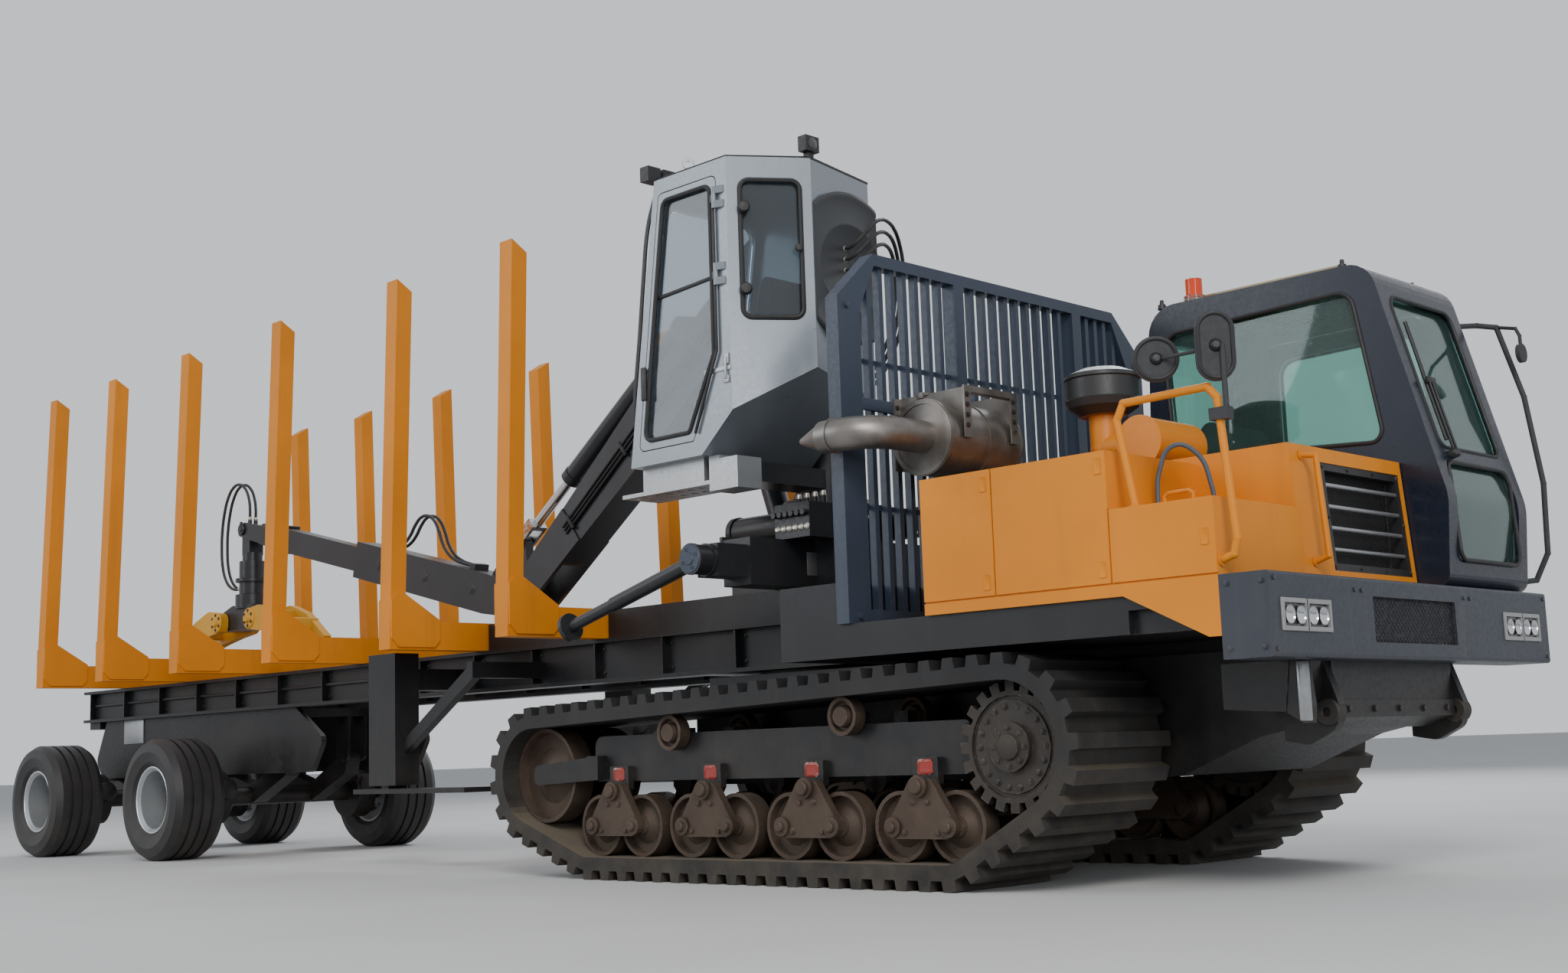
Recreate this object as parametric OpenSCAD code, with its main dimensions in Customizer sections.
// Tracked forestry forwarder with an articulated bunk trailer and a loader crane.
// X points forward, Y to the left and Z up. The ground is z = 0.
// Places along X are measured from the middle of the roller bogies; place() shifts the machine
// so that the origin lies on the ground under the middle of its length.

/* [Tracks] */
// Width of one track
track_w = 700; // [600:10:710]
// Distance between the middles of the two tracks
track_gauge = 1900; // [1850:10:1900]
// Sprocket centre ahead of the bogies
sprocket_x = 1610; // [1550:10:1650]
// Idler centre behind the bogies
idler_x = -1730; // [-1800:10:-1680]
// Height of the sprocket centre
sprocket_z = 635; // [600:5:640]
// Height of the idler centre
idler_z = 560; // [520:5:580]
// Radius over the lugs round the sprocket
sprocket_over = 415; // [390:5:420]
// Radius over the lugs round the idler
idler_over = 385; // [360:5:400]
// Thickness of the track band
band_t = 70; // [50:5:80]
// Height of a lug
lug_h = 50; // [30:5:60]
// Spacing of the lugs
lug_pitch = 140; // [120:5:180]
// Number of bogies on each side
bogie_count = 4; // [3:1:4]
// Spacing of the bogies
bogie_pitch = 724; // [700:2:740]
// Distance between the two rollers of a bogie
roller_gap = 336; // [334:2:344]
// Radius of a roller
roller_r = 165; // [140:1:166]

/* [Carrier] */
// How far the body stands wider than the tracks
body_over = 0; // [-40:10:40]
// Top of the deck
deck_z = 1240; // [1220:5:1260]
// Underside of the deck
deck_under = 1080; // [1075:5:1120]
// Height of the seam under the engine panels
seam_z = 1300; // [1280:5:1340]
// Top of the engine cover
hood_top = 1880; // [1800:10:1920]
// Rear face of the engine cover
hood_x0 = 1210; // [1180:10:1260]
// Front of the tall side panels
hood_x1 = 2240; // [2200:10:2300]
// Top of the low front box
step_top = 1610; // [1560:10:1660]
// Rear face of the bumper
bumper_x0 = 2749; // [2740:1:2760]
// Front face of the bumper
bumper_x1 = 2976; // [2940:2:3000]
// Underside of the bumper
bumper_z0 = 950; // [900:10:980]
// Top of the bumper
bumper_z1 = 1290; // [1270:5:1300]

/* [Carrier cab] */
// Right face of the cab
cab_y0 = 440; // [430:5:480]
// Underside of the cab
cab_z0 = 1300; // [1290:5:1320]
// Top of the cab frame
cab_z1 = 2900; // [2840:10:2940]
// Thickness of the cab frame
cab_wall = 60; // [50:2:70]

/* [Guard] */
// Rear face of the guard
guard_x = 660; // [650:5:680]
// Depth of the guard frame
guard_t = 80; // [60:5:100]
// Top of the guard
guard_top = 3090; // [3000:10:3150]

/* [Trailer] */
// Pivot of the trailer and of the crane
pivot_x = -600; // [-620:5:-580]
// Underside of the main beams
frame_z0 = 1100; // [1090:5:1120]
// Top of the main beams
frame_z1 = 1366; // [1350:2:1380]
// Rear end of the main beams
frame_x0 = -9040; // [-9100:10:-9000]
// Front end of the main beams
frame_x1 = -20; // [-60:10:0]
// Distance between the webs of the main beams
web_gauge = 900; // [860:10:920]
// Width over the bunks
bunk_w = 2500; // [2400:10:2540]
// Height of a bunk beam
bunk_h = 180; // [160:5:200]
// Top of the stakes
stake_top = 3752; // [3400:10:3900]
// Size of a stake along the trailer
stake_l = 120; // [100:5:140]
// Size of a stake across the trailer
stake_t = 110; // [90:5:130]
// Inward lean of a stake at its top
stake_lean = 69; // [0:5:100]
// Radius of a tyre
tyre_r = 452; // [430:2:470]
// Width of a tyre
tyre_w = 420; // [380:5:440]
// Outer face of the tyres
tyre_y = 1150; // [1120:5:1180]

/* [Crane] */
// Height of the boom pivot
boom_z = 3680; // [3600:10:3720]
// Length of the boom
boom_l = 3256; // [3200:4:3300]
// Angle of the boom below the level
boom_dip = 37; // [36:0.5:38]
// Angle of the stick above the level
stick_rise = 13.5; // [12.5:0.5:14.5]
// Depth of the boom
boom_h = 340; // [300:10:360]
// Width of the boom
boom_w = 240; // [220:5:260]
// Top of the crane cab
tower_top = 3840; // [3780:10:3880]
// Right face of the crane cab
tower_y = 1070; // [1040:5:1090]

/* [Hidden] */
// Clearances of faces that don't touch and of pins that turn
gap = 0.3;
fit = 0.05;
$fn = 48;
bunk_x = [-8276, -7215, -6023, -4711, -3271, -2057];
axle_x = [-8588, -6593];
mid_x = (frame_x0 + bumper_x1) / 2;
track_y = track_gauge / 2;
body_w = track_gauge + track_w + body_over;
half_w = body_w / 2;

// Hoses: radii and routes. Crane hoses are x, y, z for the k-th of three; the stick's are along and above the
// stick; the tip's are x from the tip's pin, z.
hose_r = 11;
hose_gap = 44;
arm_hose_r = 12;
arm_hose_y = 26;
port_y = -440;
port_z = [3250, 62];
low_port_z = 2690;
function crane_hose(k) = [[0, port_y, 3250 + 62 * k], [25, port_y, 3250 + 62 * k],
    [60, port_y, 3251 + 62 * k],
  [105, -425, 3275 + 64 * k], [135, -385, 3325 + 66 * k], [140, -325, 3375 + 68 * k],
  [125, -255, 3408 + 70 * k], [95, -175 + 8 * k, 3420 + 72 * k], [60, -95 + 18 * k, 3400 + 70 * k],
  [25, -35 + 28 * k, 3345 + 64 * k], [0, 36 * k, 3265 + 54 * k], [-25, 18 + 40 * k, 3165 + 38 * k],
  [-55, 22 + 44 * k, 3050 + 20 * k], [-100, 18 + 44 * k, 2930 + 8 * k], [-170, 8 + 44 * k, 2820],
  [-250, 44 * k, 2738], [-320, 44 * k, 2697], [-370, 44 * k, 2690], [-400, 44 * k, 2690]];
stick_hose = [[-660, 150], [-700, 150], [-770, 151], [-880, 160], [-990, 195], [-1075, 260], [-1140, 340],
    [-1215, 405],
  [-1300, 428], [-1385, 405], [-1445, 340], [-1490, 260], [-1550, 195], [-1620, 158], [-1690, 150],
      [-1730, 150]];
tip_hose = [[0, 2690], [0, 2730], [0, 2780], [-18, 2870], [-75, 2960], [-175, 3012], [-280, 2995],
    [-365, 2915],
  [-420, 2800], [-455, 2650], [-462, 2500], [-445, 2350], [-390, 2230], [-310, 2162], [-235, 2137],
  [-180, 2135], [-140, 2135]];

module place() translate([-mid_x, 0, 0]) children();

module both() {
  children();
  mirror([0, 1, 0]) children();
}

module box(a, b) translate(a) cube(b - a);

// A shape drawn in X and Z, from y0 to y1
module along_y(y0, y1) translate([0, y1, 0]) rotate([90, 0, 0]) linear_extrude(y1 - y0) children();

// A shape drawn in Y and Z, from x0 to x1
module along_x(x0, x1) translate([x0, 0, 0]) rotate([90, 0, 90]) linear_extrude(x1 - x0) children();

// A shape drawn in X and Y, from z0 to z1
module along_z(z0, z1) translate([0, 0, z0]) linear_extrude(z1 - z0) children();

module pin_y(x, z, r, y0, y1) translate([x, y0, z]) rotate([-90, 0, 0]) cylinder(h = y1 - y0, r = r);

module pin_x(y, z, r, x0, x1) translate([x0, y, z]) rotate([0, 90, 0]) cylinder(h = x1 - x0, r = r);

module pin_z(x, y, r, z0, z1) translate([x, y, z0]) cylinder(h = z1 - z0, r = r);

// A round bar from one point to another
module bar(p, q, r) {
  d = q - p;
  translate(p) rotate([0, acos(d[2] / norm(d)), atan2(d[1], d[0])]) cylinder(h = norm(d), r = r);
}

// A round hose through a list of points; up is a direction that it never takes
module tube(p, r, up, n = 8) {
  m = len(p);
  pts = [for (i = [0 : m - 1]) let (d = p[min(i + 1, m - 1)] - p[max(i - 1, 0)])
    let (t = d / norm(d), c = cross(up, t), u = c / norm(c), v = cross(t, u))
    each [for (j = [0 : n - 1]) p[i] + r * (cos(360 * j / n) * u + sin(360 * j / n) * v)]];
  sides = [for (i = [0 : m - 2], j = [0 : n - 1])
    let (a = i * n + j, b = i * n + (j + 1) % n) each [[a, a + n, b], [a + n, b + n, b]]];
  polyhedron(pts, concat([[for (j = [0 : n - 1]) j], [for (j = [1 : n]) m * n - j]], sides));
}

// A bent round rail through a list of points
module rail(points, r) {
  for (i = [0 : len(points) - 2]) bar(points[i], points[i + 1], r);
  for (i = [1 : len(points) - 2]) translate(points[i]) sphere(r = r + 1, $fn = 24);
}

// An outline with its corners rounded: each row is x, z, radius
function rounded(p, steps = 4) = [
  for (i = [0 : len(p) - 1])
    let (a = p[(i + len(p) - 1) % len(p)], b = p[i], c = p[(i + 1) % len(p)])
    let (u = [a[0] - b[0], a[1] - b[1]], v = [c[0] - b[0], c[1] - b[1]])
    let (nu = u / norm(u), nv = v / norm(v), half = acos(nu * nv) / 2)
    let (cut = b[2] / tan(half), m = nu + nv, o = [b[0], b[1]] + m / norm(m) * b[2] / sin(half))
    let (s = [b[0], b[1]] + nu * cut - o, e = [b[0], b[1]] + nv * cut - o)
    let (a0 = atan2(s[1], s[0]), turn = (atan2(e[1], e[0]) - a0 + 540) % 360 - 180)
    each b[2] <= 0 ? [[b[0], b[1]]] :
      [for (k = [0 : steps]) o + b[2] * [cos(a0 + turn * k / steps), sin(a0 + turn * k / steps)]]
];

// The band runs round four circles: idler, last roller, first roller, sprocket. Rows are x, z, radius.
low_r = lug_h + band_t + roller_r;
end_x = (bogie_count - 1) / 2 * bogie_pitch + roller_gap / 2;
rounds = [[idler_x, idler_z, idler_over - lug_h], [-end_x, low_r, low_r - lug_h],
          [end_x, low_r, low_r - lug_h], [sprocket_x, sprocket_z, sprocket_over - lug_h]];

function next(i) = (i + 1) % 4;
function reach(i) = [rounds[next(i)][0] - rounds[i][0], rounds[next(i)][1] - rounds[i][1]];
function lean(i) = atan2(reach(i)[1], reach(i)[0])
  - acos((rounds[i][2] - rounds[next(i)][2]) / norm(reach(i)));
// Direction in which the straight run after circle i faces, always turning one way
lean0 = lean(0);
function past(a, b) = b + 360 * ceil((a - b) / 360);
faces = [lean0, past(lean0, lean(1)), past(past(lean0, lean(1)), lean(2)),
         past(past(past(lean0, lean(1)), lean(2)), lean(3)), lean0 + 360];
function out(a) = [cos(a), sin(a)];
function centre(i) = [rounds[i % 4][0], rounds[i % 4][1]];
function straight(i) = norm(centre(i + 1) + rounds[next(i)][2] * out(faces[i])
  - centre(i) - rounds[i][2] * out(faces[i]));
function bend(i) = rounds[next(i)][2] * (faces[i + 1] - faces[i]) * PI / 180;
function run_end(i) = i < 0 ? 0 : run_end(i - 1) + straight(i) + bend(i);
belt_len = run_end(3);

// The point at distance s along the band, off outside it
function on_band(s, off, i = 0) = s > run_end(i) && i < 3 ? on_band(s, off, i + 1) :
  let (t = s - run_end(i - 1), l = straight(i), r = rounds[next(i)][2])
  t <= l ? centre(i) + (rounds[i][2] + off) * out(faces[i]) + t * out(faces[i] + 90) :
  centre(i + 1) + (r + off) * out(faces[i] + (t - l) / r * 180 / PI);

lug_count = round(belt_len / lug_pitch);
lug_step = belt_len / lug_count;
lug_l = lug_step * 0.55;
band_outer = [for (j = [0 : lug_count - 1], c = [[0, 0], [0.12, 1], [0.88, 1], [1, 0]])
  on_band((j + 0.2) * lug_step + c[0] * lug_l, c[1] * lug_h)];
band_inner = [for (i = [0 : 3], k = [0 : 16])
  centre(i + 1) + (rounds[next(i)][2] - band_t) * out(faces[i] + (faces[i + 1] - faces[i]) * k / 16)];

module tracks() color("#2b2b2c") place() both() difference() {
  along_y(-track_y - track_w / 2, -track_y + track_w / 2) polygon(band_outer);
  along_y(-track_y - track_w, -track_y + track_w) polygon(band_inner);
}
// Offsets across a track, from its middle
beam_half = 210;
beam_x = 1330;
lug_plate = 40;
side_plate = 45;
pin_z0 = 470;
pin_r = 32;
idler_half = 65;
bogie_x = [for (k = [0 : bogie_count - 1]) (k - (bogie_count - 1) / 2) * bogie_pitch];
top_roller_x = [-630, 610];
top_roller_r = 92;
top_roller_half = 35;
top_roller_y = beam_half + top_roller_half + 12;
// Height of the inside of the upper run at x
function upper_run(x) = let (a = centre(3) + (rounds[3][2] - band_t) * out(faces[3]))
  a[1] + (x - a[0]) * tan(faces[3] - 90);

module at_track(side = -1) translate([0, side * track_y, 0]) children();

// Track frame: a box beam, a nose for the final drive and a yoke for the idler
module side_beam() at_track() difference() {
  union() {
    along_y(-beam_half, beam_half) polygon(rounded([[-beam_x, 520, 40], [beam_x, 520, 30],
      [beam_x, 765, 30], [-beam_x, 765, 60]]));
    along_y(-150, 150) polygon([[beam_x - 10, 560], [sprocket_x, 520], [sprocket_x, 750],
        [beam_x - 10, 720]]);
    pin_y(sprocket_x, sprocket_z, 200, -beam_half, beam_half);
    along_y(-95, 95) polygon([[idler_x - 50, idler_z - 60], [5 - beam_x, 525], [5 - beam_x, 660],
      [idler_x - 50, idler_z + 60]]);
    both() {
      box([-beam_x, -272, 530], [90 - beam_x, 5 - beam_half, 660]);
      along_y(-272, -252) polygon(rounded([[idler_x - 70, idler_z - 55, 40], [90 - beam_x, 530, 10],
        [90 - beam_x, 660, 10], [idler_x - 70, idler_z + 55, 40]]));
      for (x = bogie_x) along_y(-beam_half - lug_plate, -beam_half) polygon(rounded([[x - 75, 600, 0],
        [x - 75, 480, 0], [x - 40, 432, 20], [x + 40, 432, 20], [x + 75, 480, 0], [x + 75, 600, 0]]));
      for (x = top_roller_x) box([x - 45, -beam_half, 760], [x + 45, -140, upper_run(x) - 70]);
    }
  }
  for (x = bogie_x) pin_y(x, pin_z0, pin_r + gap, -300, 300);
}

hull_half = track_y - track_w / 2 - 40;
hull_top = deck_under - 60;
ring_w = 60;
boss_w = 85;

module undercarriage() color("#1d1e20") place() {
  both() side_beam();
  along_y(-hull_half, hull_half) polygon(rounded([[-1150, 620, 60], [-1000, 480, 80], [2050, 480, 80],
    [2450, 640, 60], [2690, 690, 30], [2690, hull_top, 0], [-1150, hull_top, 0]]));
  for (x = [-860, 860]) pin_y(x, 650, 120, beam_half - track_y, track_y - beam_half);
  shaft_y = track_y - beam_half - boss_w - gap;
  pin_y(sprocket_x, sprocket_z, 170, -shaft_y, shaft_y);
}

// A roller drawn about Z: a thin rim, a dished web and a hub
module dished(r, half) rotate_extrude() polygon([[0, -half - 11.7], [46, -half - 11.7], [52, 8 - half],
  [r * 0.6, -9], [r - 26, -9], [r - 18, -half], [r, -half], [r, half], [r - 18, half], [r - 26, 9],
  [r * 0.6, 9], [52, half - 8], [46, half + 11.7], [0, half + 11.7]]);

module roller(x, y, z, r, half) translate([x, y, z]) rotate([90, 0, 0]) dished(r, half);

module bogies() color("#5a4a3f") place() both() at_track() {
  for (x = bogie_x) translate([x, 0, 0]) {
    for (dx = [-1, 1] * roller_gap / 2) {
      pin_y(dx, low_r, 35, -beam_half - lug_plate - side_plate - 14, beam_half + lug_plate + side_plate + 14);
      both() roller(dx, -190, low_r, roller_r - 1, 50);
    }
    both() {
      y = -beam_half - lug_plate - side_plate;
      along_y(y, y + side_plate) polygon(rounded([[-62, 505, 30], [-225, 262, 40], [-150, 232, 30],
        [150, 232, 30], [225, 262, 40], [62, 505, 30]]));
      pin_y(0, pin_z0, pin_r, y - 16, -beam_half - 1);
    }
  }
  both() {
    for (x = top_roller_x) roller(x, -top_roller_y, upper_run(x) - top_roller_r - 1, top_roller_r,
        top_roller_half);
    roller(idler_x, -110 - idler_half, idler_z, rounds[0][2] - band_t - 3, idler_half);
  }
}

// Sprocket ring with its block teeth round an inset cover
tooth_count = 20;
tooth_r = sprocket_over - lug_h - band_t - 4;
tooth_h = 44;
tooth_w = 48;
cover_r = 205;
module sprockets() color("#35332f") place() both() at_track() translate([sprocket_x, 0, sprocket_z]) both() {
  y0 = -beam_half - ring_w;
  difference() {
    pin_y(0, 0, tooth_r - tooth_h, y0, -beam_half - gap);
    pin_y(0, 0, tooth_r - tooth_h - 20, y0 - 1, y0 + 14);
  }
  for (k = [1 : tooth_count]) rotate([0, k * 360 / tooth_count, 0])
    box([tooth_r - tooth_h - 5, y0, -tooth_w / 2], [tooth_r - 1, -beam_half - gap, tooth_w / 2]);
  pin_y(0, 0, cover_r, y0 + 4, y0 + 20);
  pin_y(0, 0, 110, -beam_half - boss_w, y0 + 20);
}

ring_r = 420;
kingpin_r = 60;
belly_x = 2812;

module main_frame() color("#17181a") place() {
  difference() {
    union() {
      box([260, -half_w + 20, deck_under], [bumper_x0, half_w - 20, deck_z]);
      box([260, -half_w + 20, deck_z], [guard_x, half_w - 20, 1440]);
      // Engine under its cover
      box([1330, -500, deck_z - 1], [2150, 340, 1740]);
    }
    box([2300, -half_w, deck_under - 1], [bumper_x0 + 1, -half_w + 60, deck_z - 60]);
  }
  pin_z(pivot_x, 0, ring_r, hull_top, frame_z0 - 20);
  box([pivot_x - 520, -480, hull_top], [2690, 480, deck_under]);
  pin_z(pivot_x, 0, kingpin_r, frame_z0 - 30, frame_z1 - 20);
  // Belly under the bumper with its bolted lower strip and its cheeks
  under = bumper_z0 - gap;
  along_y(-560, 560) polygon([[2690 + gap, 665], [belly_x - 60, 690], [belly_x, 711], [belly_x, under],
    [2690 + gap, under]]);
  box([belly_x, -540, 711], [belly_x + 12, 540, 783]);
  both() along_y(-610, -560) polygon(rounded([[2600, 620, 0], [2720, 600, 60], [2850, 665, 60],
    [2862, 770, 40], [2800, under, 0], [2600, under, 0]]));
  // Box and guide plate beside the near cheek
  along_y(-885, -610) polygon([[2480, 760], [2770, 740], [2800, under], [2480, under]]);
  along_y(-880, -770) polygon([[2790, under], [2832, under], [2850, 760], [2842, 692], [2760, 745]]);
}

// Engine cover: side box, low front box and the radiator housing with its leaning front
wall = 30;
house_y0 = -600;
house_y1 = 430;
house_top = hood_top + 20;
groove = 8;
grille_y0 = -335;
grille_y1 = 400;
grille_z0 = 1350;
grille_z1 = 1835;
function front_x(z) = bumper_x0 - 1 - (z - seam_z - 20) * 0.075;

module hood() color("#d9801f") place() difference() {
  union() {
    box([hood_x0, -half_w, seam_z], [hood_x1, house_y0, hood_top - 15]);
    box([hood_x1, -half_w, seam_z], [bumper_x0 - 1, house_y0, step_top]);
    box([hood_x0, house_y0, deck_z], [hood_x1 - 250, house_y1, hood_top - 90]);
    along_y(house_y0, house_y1) polygon([[hood_x1 - 250, deck_z], [bumper_x0 - 1, deck_z],
      [bumper_x0 - 1, seam_z + 20], [front_x(house_top), house_top], [hood_x1 - 250, house_top]]);
    box([hood_x0, -half_w, deck_z], [bumper_x0 - 1, house_y0, seam_z]);
    // Sill under the cab
    box([cab_x0, house_y1, deck_z], [bumper_x0 - 1, half_w, cab_z0]);
    // Skirt that drops towards the bumper
    along_y(-half_w, -half_w + 18) polygon([[2290, deck_z], [2690, 1045], [bumper_x0 - 1, 1045],
      [bumper_x0 - 1, deck_z]]);
  }
  box([hood_x0 + wall, -half_w + wall, deck_z - 1], [hood_x1 - wall, house_y0 + 1, hood_top - 15 - wall]);
  box([hood_x1 - wall - 1, -half_w + wall, deck_z - 1], [bumper_x0 - 1 - wall, house_y0 + 1,
      step_top - wall]);
  box([hood_x0 + wall, house_y0, deck_z - 1], [hood_x1 - 251, house_y1 - wall, hood_top - 90 - wall]);
  box([hood_x1 - 252, house_y0, deck_z - 1], [hood_x1 - wall, house_y1 - wall, hood_top - 15 - wall]);
  box([hood_x1 - wall - 1, house_y0 + wall, deck_z - 1], [2620, house_y1 - wall, hood_top - wall]);
  // Opening for the grille, and the slot beside it
  along_x(2600, bumper_x0 + 10) polygon([[grille_y0, grille_z0], [grille_y1, grille_z0],
    [grille_y1, grille_z1], [grille_y0, grille_z1]]);
  along_y(-394, -380) polygon([[front_x(1400) - 12, 1400], [bumper_x0 + 10, 1400],
    [bumper_x0 + 10, 1830], [front_x(1830) - 12, 1830]]);
  // Seams between the panels
  box([1620, -half_w - 1, seam_z], [1620 + groove, -half_w + 10, hood_top]);
  box([hood_x0 - 1, -half_w - 1, seam_z - groove], [bumper_x0, -half_w + 10, seam_z]);
  box([hood_x1 - groove / 2, -half_w - 1, seam_z], [hood_x1 + groove / 2, -half_w + 10, step_top + 4]);
}

// Radiator behind a leaning frame with four bars
module grille() color("#141415") place() {
  rim_w = 34;
  difference() {
    along_y(grille_y0 + gap, grille_y1 - gap) polygon([[2632, grille_z0 + gap],
      [front_x(grille_z0) - 4, grille_z0 + gap], [front_x(grille_z1) - 4, grille_z1 - gap],
      [2632, grille_z1 - gap]]);
    box([2650, grille_y0 + rim_w, grille_z0 + rim_w], [2800, grille_y1 - rim_w, grille_z1 - rim_w]);
  }
  for (k = [1 : 4]) let (z = grille_z0 + k * (grille_z1 - grille_z0) / 5)
    pin_y(front_x(z) - 18, z, 7, grille_y0 + rim_w - 5, grille_y1 - rim_w + 5);
}

module bumper() color("#1b2433") place() difference() {
  along_y(-half_w, half_w) polygon(rounded([[bumper_x0, bumper_z0, 0], [bumper_x1, bumper_z0, 15],
    [bumper_x1, bumper_z1, 15], [bumper_x0, bumper_z1, 0]]));
  box([bumper_x1 - 28, -1222, 1050], [bumper_x1 + 1, -841, 1186]);
  box([bumper_x1 - 28, 811, 1050], [bumper_x1 + 1, 1192, 1186]);
  box([bumper_x1 - 20, -464, 1020], [bumper_x1 + 1, 307, 1213]);
}

module carrier_lamps() color("#c8ccc8") place() {
  for (y = [-1222, 811], k = [0, 1])
    box([bumper_x1 - 28, y + 12 + k * 182, 1062], [bumper_x1 - 6, y + 187 + k * 182, 1174]);
  pin_z(1620, cab_y0 + 60, 55, cab_z1 + gap, cab_z1 + 30);
  pin_z(1620, cab_y0 + 60, 44, cab_z1 + 30, cab_z1 + 120);
}

// Side view of the cab and the same outline taken in by d
cab_x0 = 1300;
cab_x1 = 2930;
function cab_side(d) = rounded([[cab_x0 + d, cab_z0 + d, 60], [cab_x1 - 30 - d, cab_z0 + d, 60],
  [cab_x1 - d, cab_z0 + 420, 300], [2620 - d, cab_z1 - d, 150], [cab_x0 + 70 + d, cab_z1 - d, 160]], 6);
cab_y1 = half_w - 8;
cab_mid = (cab_y0 + cab_y1) / 2;
side_window = [[1480, 2080, 60], [2640, 2010, 60], [2520, 2770, 90], [1450, 2740, 90]];
door_shape = [[1560, 1400, 60], [2560, 1400, 120], [2640, 1900, 60], [2500, 2780, 90], [1560, 2760, 90]];
door_window = [[1650, 1500, 60], [2480, 1500, 120], [2550, 1900, 60], [2425, 2690, 90], [1650, 2670, 90]];
slit = 12;
screen_top = 2740;

// Windscreen, lower screen and rear window, taken in by d at their edges; the windscreen stops short of
// its upper edge by top, which leaves an air slit
module cab_screens(d, top) {
  y0 = cab_y0 + 90 + d;
  y1 = cab_y1 - 90 - d;
  along_x(2500, cab_x1 + 40) polygon(rounded([[y0, 1960 + d, 60], [y1, 1960 + d, 60],
    [y1, screen_top - top, 80], [y0, screen_top - top, 80]]));
  along_x(2700, cab_x1 + 40) polygon(rounded([[y0, 1420 + d, 60], [y1, 1420 + d, 60],
    [y1, 1900 - d, 40], [y0, 1900 - d, 40]]));
  along_x(cab_x0 - 10, cab_x0 + 150) polygon(rounded([[y0 + 30, 2080 + d, 60], [y1 - 30, 2080 + d, 60],
    [y1 - 30, 2720 - d, 80], [y0 + 30, 2720 - d, 80]]));
}

// Door hinges: pins and outer knuckles on the frame, middle knuckles on the door. The pins stand off the
// wall by knuckle_off, on side s.
knuckle_r = 14;
knuckle_off = 16;
hinge_pin = 8;
module hinge_frame(x, wall_y, s, heights, to) for (z = heights) {
  pin_z(x, wall_y + s * knuckle_off, hinge_pin, z - 60, z + 60);
  for (z0 = [z - 60, z + 20 + gap]) {
    pin_z(x, wall_y + s * knuckle_off, knuckle_r, z0, z0 + 40 - gap);
    along_z(z0, z0 + 40 - gap) polygon([[x, wall_y - s * 4], [x + to, wall_y - s * 4],
        [x + to, wall_y + s * 6],
      [x, wall_y + s * (knuckle_off + knuckle_r)]]);
  }
}
module hinge_door(x, wall_y, s, heights, to) for (z = heights) difference() {
  union() {
    pin_z(x, wall_y + s * knuckle_off, knuckle_r, z - 20, z + 20);
    along_z(z - 20, z + 20) polygon([[x, wall_y + s * 2], [x + sign(to) * 8, wall_y - s * 4],
      [x + to, wall_y - s * 4], [x + to, wall_y + s * 6], [x, wall_y + s * (knuckle_off + knuckle_r)]]);
  }
  pin_z(x, wall_y + s * knuckle_off, hinge_pin + fit, z - 21, z + 21);
}
cab_hinges = [1620, 2560];

module cab_shell() color("#1a2230") place() {
  difference() {
    along_y(cab_y0, cab_y1) polygon(cab_side(0));
    along_y(cab_y0 + cab_wall, cab_y1 - cab_wall) polygon(cab_side(cab_wall));
    along_y(cab_y0 - 1, cab_y0 + cab_wall + 1) polygon(rounded(side_window));
    along_y(cab_y1 - cab_wall - 1, cab_y1 + 1) polygon(rounded(door_shape));
    cab_screens(0, 0);
  }
  // Roof panel
  along_y(cab_y0 + 120, cab_y1 - 120) polygon(rounded([[1560, cab_z1 - 1, 0], [2440, cab_z1 - 1, 0],
    [2420, cab_z1 + 42, 20], [1580, cab_z1 + 42, 20]]));
  hinge_frame(1562, cab_y1, 1, cab_hinges, -60);
}

pane = 8;
module cab_glass() color("#9fc4b8", 0.4) place() {
  along_y(cab_y0 + 26, cab_y0 + 26 + pane) offset(delta = -gap) polygon(rounded(side_window));
  intersection() {
    cab_screens(gap, slit);
    difference() {
      along_y(cab_y0 + 20, cab_y1 - 20) polygon(cab_side(24));
      along_y(cab_y0 + 19, cab_y1 - 19) polygon(cab_side(24 + pane));
    }
  }
}

// Seat, console and steering wheel
module cab_interior() color("#26272a") place() {
  box([1500, cab_mid - 240, cab_z0 + cab_wall + gap], [2100, cab_mid + 240, 1560]);
  along_y(cab_mid - 240, cab_mid + 240) polygon(rounded([[1560, 1560, 0], [2100, 1560, 0], [2110, 1660, 50],
    [1740, 1680, 60], [1640, 2280, 60], [1520, 2280, 60]]));
  along_y(cab_mid - 180, cab_mid + 180) polygon([[2560, cab_z0 + cab_wall + gap],
    [2700, cab_z0 + cab_wall + gap], [2680, 1900], [2600, 1940]]);
  bar([2640, cab_mid, 1780], [2480, cab_mid, 1990], 26);
  translate([2480, cab_mid, 1990]) rotate([0, -37, 0]) {
    rotate_extrude() translate([175, 0]) circle(r = 15, $fn = 24);
    for (a = [0, 120, 240]) rotate([0, 0, a]) rotate([0, 90, 0]) cylinder(h = 172, r = 10);
  }
}

module cab_door() color("#1a2230") place() {
  difference() {
    along_y(cab_y1 - cab_wall + 6, cab_y1) offset(delta = -6) polygon(rounded(door_shape));
    along_y(cab_y1 - cab_wall, cab_y1 + 1) polygon(rounded(door_window));
  }
  hinge_door(1562, cab_y1, 1, cab_hinges, 66);
}

module cab_door_glass() color("#9fc4b8", 0.4) place()
  along_y(cab_y1 - 30, cab_y1 - 30 + pane) offset(delta = -gap) polygon(rounded(door_window));

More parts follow.
